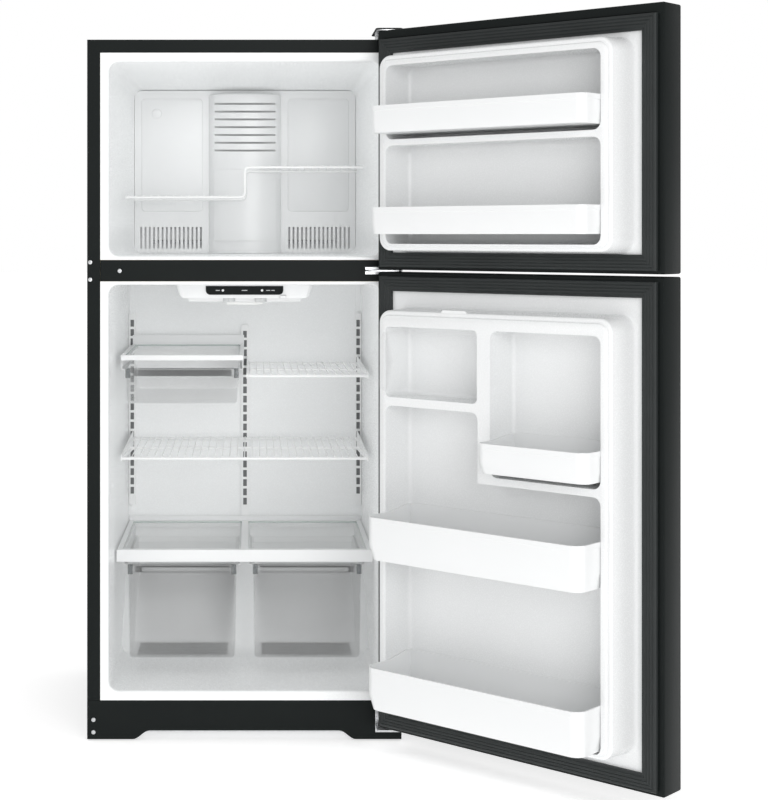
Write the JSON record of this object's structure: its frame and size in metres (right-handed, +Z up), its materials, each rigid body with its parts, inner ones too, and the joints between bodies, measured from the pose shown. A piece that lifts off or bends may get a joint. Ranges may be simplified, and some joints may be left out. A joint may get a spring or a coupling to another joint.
{
  "type": "top freezer refrigerator",
  "caption": "Two-door household refrigerator with the freezer on top, both doors open on right-hand hinges, with wire and glass shelves, drawers and door bins.",
  "frame": {"origin": "on the floor, under the middle of the bounding box of the object with both doors open as at rest", "axes": "+Z up; -Y is the front, which the compartments face; +X is to the right of someone who faces the front, where the hinges are"},
  "size_m": [1.285, 1.2936, 1.6893],
  "materials": {
    "case_paint": "fine leather-grain texture, satin black",
    "black_plastic": "satin",
    "insulation_foam": "rigid foamed-in insulation",
    "white_plastic": "gloss",
    "white_coated_steel": "vinyl coated",
    "gasket_rubber": "matt",
    "zinc_steel": "zinc plated",
    "machine_paint": "satin",
    "aluminium": "plain",
    "clear_plastic": "clear",
    "shelf_glass": "polished edges",
    "grey_plastic": "satin"
  },
  "bodies": {
    "cabinet": {"back_panel": "case_paint", "base_frame": "zinc_steel", "base_grille": "black_plastic", "bottom_hinge": "zinc_steel", "cabinet_foam": "insulation_foam", "compressor": "machine_paint", "condenser_coil": "machine_paint", "condenser_fan_motor": "zinc_steel", "control_housing": "white_plastic", "control_panel": "black_plastic", "crisper_cover": "white_plastic", "crisper_glass_left": "shelf_glass", "crisper_glass_right": "shelf_glass", "drain_pan": "black_plastic", "evaporator_coil": "aluminium", "evaporator_cover": "white_plastic", "evaporator_fan_motor": "aluminium", "freezer_liner": "white_plastic", "freezer_shelf": "white_coated_steel", "fresh_food_liner": "white_plastic", "full_wire_shelf": "white_coated_steel", "half_glass_shelf": "white_plastic", "half_shelf_glass": "shelf_glass", "half_wire_shelf": "white_coated_steel", "lamp_cover": "clear_plastic", "leveling_leg_left": "zinc_steel", "leveling_leg_right": "zinc_steel", "machine_cover": "black_plastic", "middle_hinge": "zinc_steel", "mullion_cover": "black_plastic", "outer_case": "case_paint", "shelf_track_center": "white_coated_steel", "shelf_track_left": "white_coated_steel", "shelf_track_right": "white_coated_steel", "top_hinge": "zinc_steel", "top_hinge_cover": "black_plastic"},
    "freezer_door": {"freezer_door_shell": "case_paint", "freezer_door_liner": "white_plastic", "freezer_door_gasket": "gasket_rubber", "freezer_bin_upper": "white_plastic", "freezer_bin_lower": "white_plastic", "freezer_handle": "black_plastic"},
    "fresh_food_door": {"fresh_food_door_shell": "case_paint", "fresh_food_door_liner": "white_plastic", "fresh_food_door_gasket": "gasket_rubber", "door_bin_lower": "white_plastic", "door_bin_upper": "white_plastic", "small_door_bin": "white_plastic", "fresh_food_handle": "black_plastic"},
    "dairy_cover_body": {"dairy_cover": "clear_plastic"},
    "crisper_left_body": {"crisper_left": "clear_plastic"},
    "crisper_right_body": {"crisper_right": "clear_plastic"},
    "deli_drawer_body": {"deli_drawer": "clear_plastic"},
    "fresh_food_dial_body": {"fresh_food_dial": "grey_plastic"},
    "freezer_dial_body": {"freezer_dial": "grey_plastic"},
    "light_switch_body": {"light_switch_button": "white_plastic"},
    "evaporator_fan_body": {"evaporator_fan": "black_plastic"},
    "condenser_fan_body": {"condenser_fan": "black_plastic"},
    "rear_roller_left_body": {"rear_roller_left": "black_plastic"},
    "rear_roller_right_body": {"rear_roller_right": "black_plastic"}
  },
  "joints": [
    {"name": "freezer_door_hinge", "type": "hinge", "parent": "cabinet", "child": "freezer_door", "pos_m": [0.08396, -0.08021, 1.4], "axis": [0, 0, 1], "range_deg": [-137.3, 12]},
    {"name": "fresh_food_door_hinge", "type": "hinge", "parent": "cabinet", "child": "fresh_food_door", "pos_m": [0.08396, -0.08021, 0.58], "axis": [0, 0, 1], "range_deg": [-137.3, 12]},
    {"name": "dairy_cover_hinge", "type": "hinge", "parent": "fresh_food_door", "child": "dairy_cover_body", "pos_m": [0.1585, -0.2973, 0.9162], "axis": [-0.7349, 0.6782, 0], "range_deg": [0, 85]},
    {"name": "crisper_left_slide", "type": "slide", "parent": "cabinet", "child": "crisper_left_body", "axis": [0, -1, 0], "range_m": [0, 0.33]},
    {"name": "crisper_right_slide", "type": "slide", "parent": "cabinet", "child": "crisper_right_body", "axis": [0, -1, 0], "range_m": [0, 0.33]},
    {"name": "deli_drawer_slide", "type": "slide", "parent": "cabinet", "child": "deli_drawer_body", "axis": [0, -1, 0], "range_m": [0, 0.3]},
    {"name": "fresh_food_dial_turn", "type": "hinge", "parent": "cabinet", "child": "fresh_food_dial_body", "pos_m": [-0.30604, 0.10329, 1.0485], "axis": [0, 0, 1], "range_deg": [-135, 135]},
    {"name": "freezer_dial_turn", "type": "hinge", "parent": "cabinet", "child": "freezer_dial_body", "pos_m": [-0.22854, 0.10329, 1.0485], "axis": [0, 0, 1], "range_deg": [-135, 135]},
    {"name": "light_switch_press", "type": "slide", "parent": "cabinet", "child": "light_switch_body", "axis": [0, 1, 0], "range_m": [0, 0.006], "stiffness_N_per_m": 200},
    {"name": "evaporator_fan_spin", "type": "hinge", "parent": "cabinet", "child": "evaporator_fan_body", "pos_m": [-0.26804, 0.52779, 1.492], "axis": [0, 1, 0], "continuous": true},
    {"name": "condenser_fan_spin", "type": "hinge", "parent": "cabinet", "child": "condenser_fan_body", "pos_m": [-0.31304, 0.54679, 0.105], "axis": [1, 0, 0], "continuous": true},
    {"name": "rear_roller_left_spin", "type": "hinge", "parent": "cabinet", "child": "rear_roller_left_body", "pos_m": [-0.62004, 0.56679, 0.02], "axis": [1, 0, 0], "continuous": true},
    {"name": "rear_roller_right_spin", "type": "hinge", "parent": "cabinet", "child": "rear_roller_right_body", "pos_m": [0.08396, 0.56679, 0.02], "axis": [1, 0, 0], "continuous": true}
  ]
}
